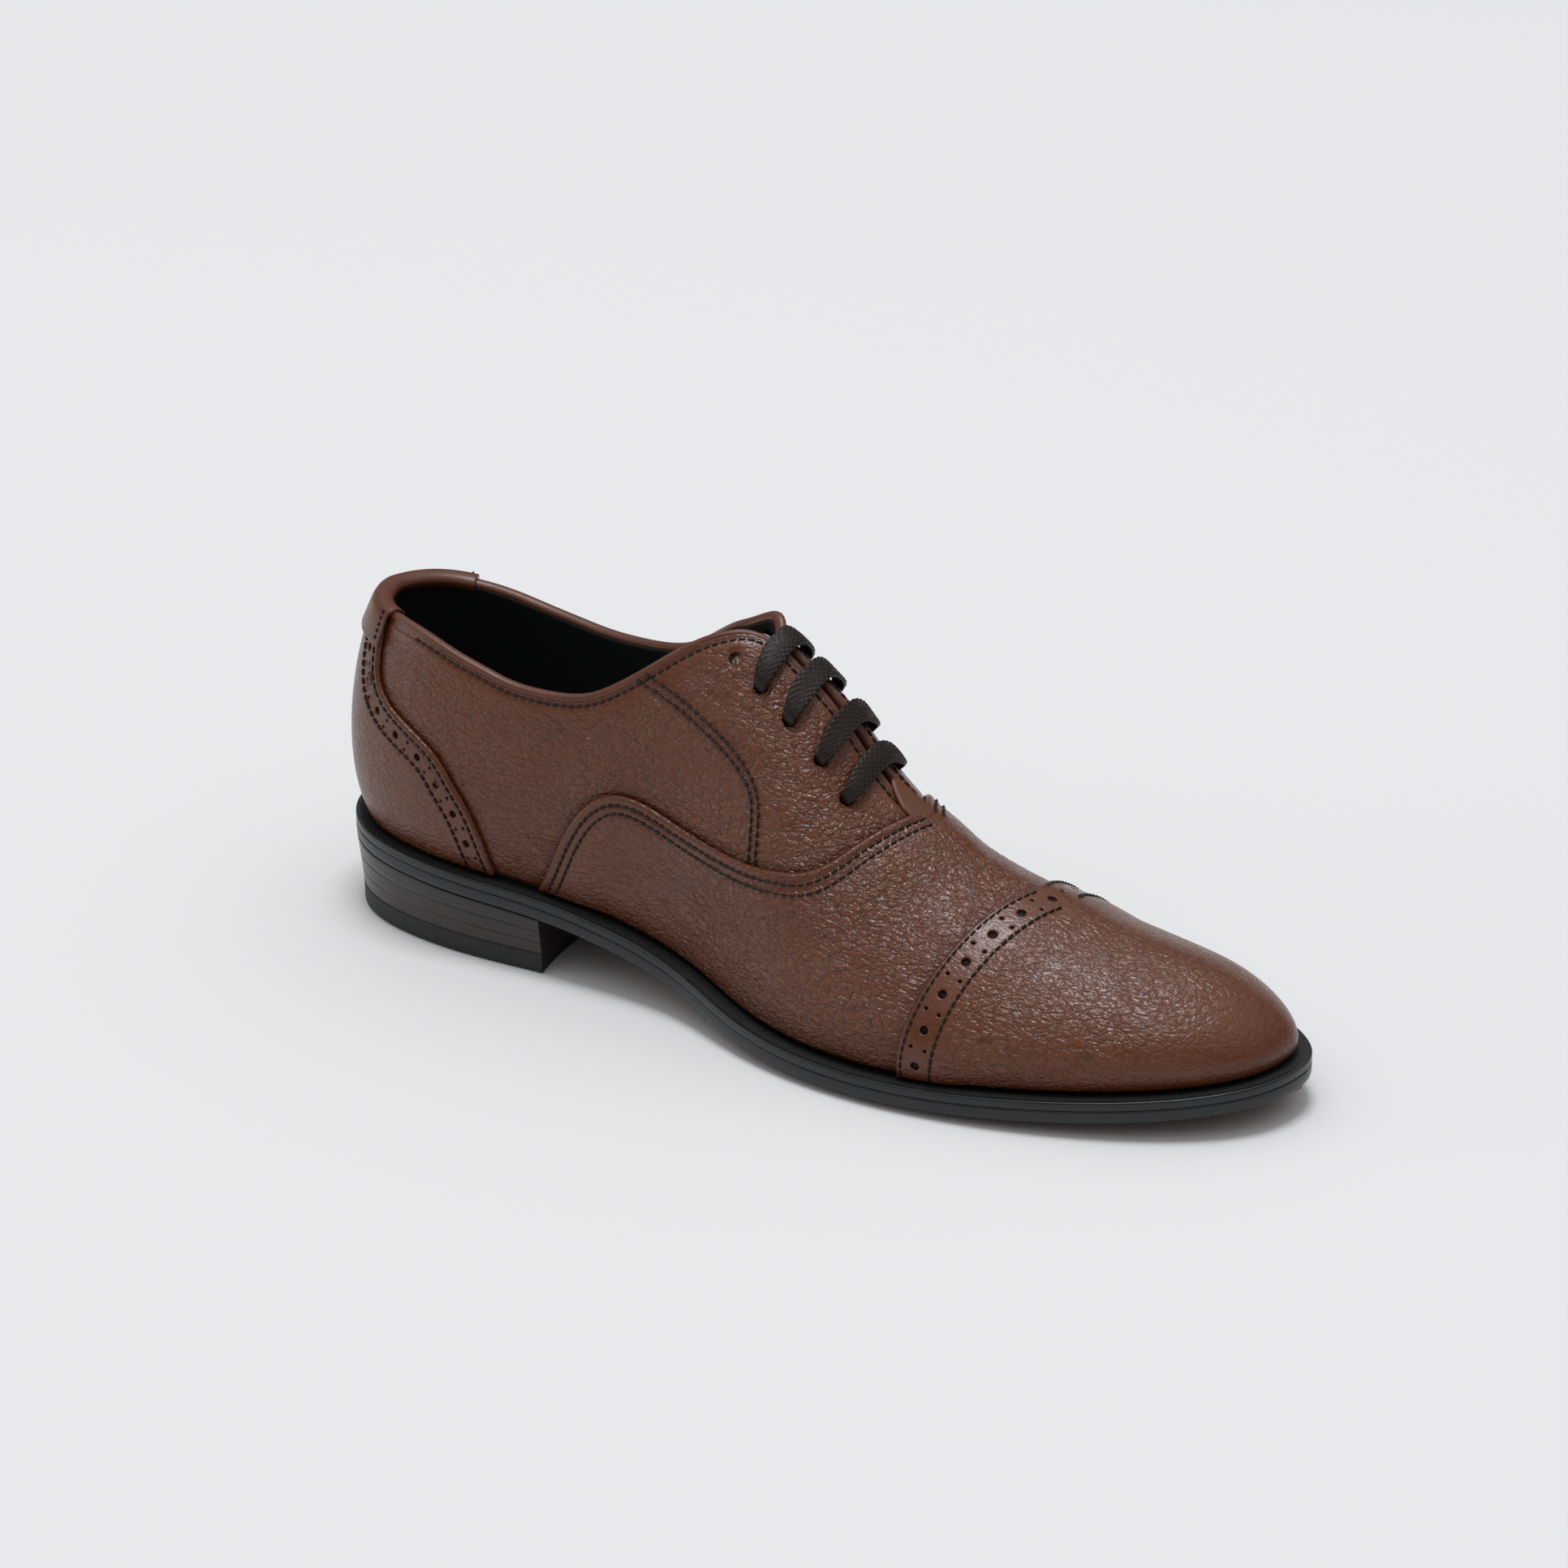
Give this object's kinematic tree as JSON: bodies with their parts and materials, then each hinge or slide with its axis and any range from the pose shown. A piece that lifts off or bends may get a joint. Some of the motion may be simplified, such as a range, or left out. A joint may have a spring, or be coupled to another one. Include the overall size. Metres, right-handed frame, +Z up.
{
  "type": "leather oxford shoe",
  "caption": "Right-foot cap-toe lace-up shoe in brown pebbled leather, closed lacing, welted sole and stacked heel, in separate layers with a hinged tongue.",
  "frame": {"origin": "middle of the heel's flat bottom face, on the ground", "axes": "+X to the toe along the shoe's length, +Y to the medial side, +Z up"},
  "size_m": [0.3056, 0.1001, 0.107],
  "materials": {
    "upper_leather": "pebbled full-grain leather, polished, mid brown",
    "edge_leather": "smooth rolled brown leather",
    "black_lining": "black woven lining",
    "stiffener_board": "plain fibre board",
    "cork_filler": "ground cork",
    "sole_leather": "satin black edge dressing, fine grooves on the welt",
    "heel_stack": "stacked lifts, dark red brown, waxed",
    "top_piece_rubber": "matte black",
    "steel": "plain",
    "lace_cotton": "braided and waxed, dark brown",
    "aglet_plastic": "dark brown film"
  },
  "bodies": {
    "shoe": {"aglet_1": "aglet_plastic", "aglet_2": "aglet_plastic", "eyelet_lateral_1": "steel", "eyelet_lateral_2": "steel", "eyelet_lateral_3": "steel", "eyelet_lateral_4": "steel", "eyelet_lateral_5": "steel", "eyelet_medial_1": "steel", "eyelet_medial_2": "steel", "eyelet_medial_3": "steel", "eyelet_medial_4": "steel", "eyelet_medial_5": "steel", "facing_stay_lateral": "stiffener_board", "facing_stay_medial": "stiffener_board", "forepart_filler": "cork_filler", "heel_foxing": "upper_leather", "heel_lift_1": "heel_stack", "heel_lift_2": "heel_stack", "heel_lift_3": "heel_stack", "heel_nail_1": "steel", "heel_nail_2": "steel", "heel_nail_3": "steel", "heel_nail_4": "steel", "heel_nail_5": "steel", "heel_seat_filler": "cork_filler", "heel_stiffener": "stiffener_board", "heel_tab": "upper_leather", "heel_top_piece": "top_piece_rubber", "insole_board": "stiffener_board", "lace": "lace_cotton", "outsole": "sole_leather", "quarter_lateral": "upper_leather", "quarter_lining_lateral": "black_lining", "quarter_lining_medial": "black_lining", "quarter_medial": "upper_leather", "shank": "steel", "sock_liner": "black_lining", "throat_patch": "upper_leather", "toe_cap": "upper_leather", "toe_puff": "stiffener_board", "topline_bead": "edge_leather", "vamp": "upper_leather", "vamp_lining": "black_lining", "welt": "sole_leather"},
    "tongue": {"tongue": "upper_leather", "tongue_lining": "black_lining"}
  },
  "joints": [
    {"name": "tongue_hinge", "type": "hinge", "parent": "shoe", "child": "tongue", "pos_m": [0.14541, 0, 0.05845], "axis": [0, -1, 0], "range_deg": [0, 20], "stiffness_Nm_per_rad": 0.1, "springref_deg": -5.73}
  ]
}
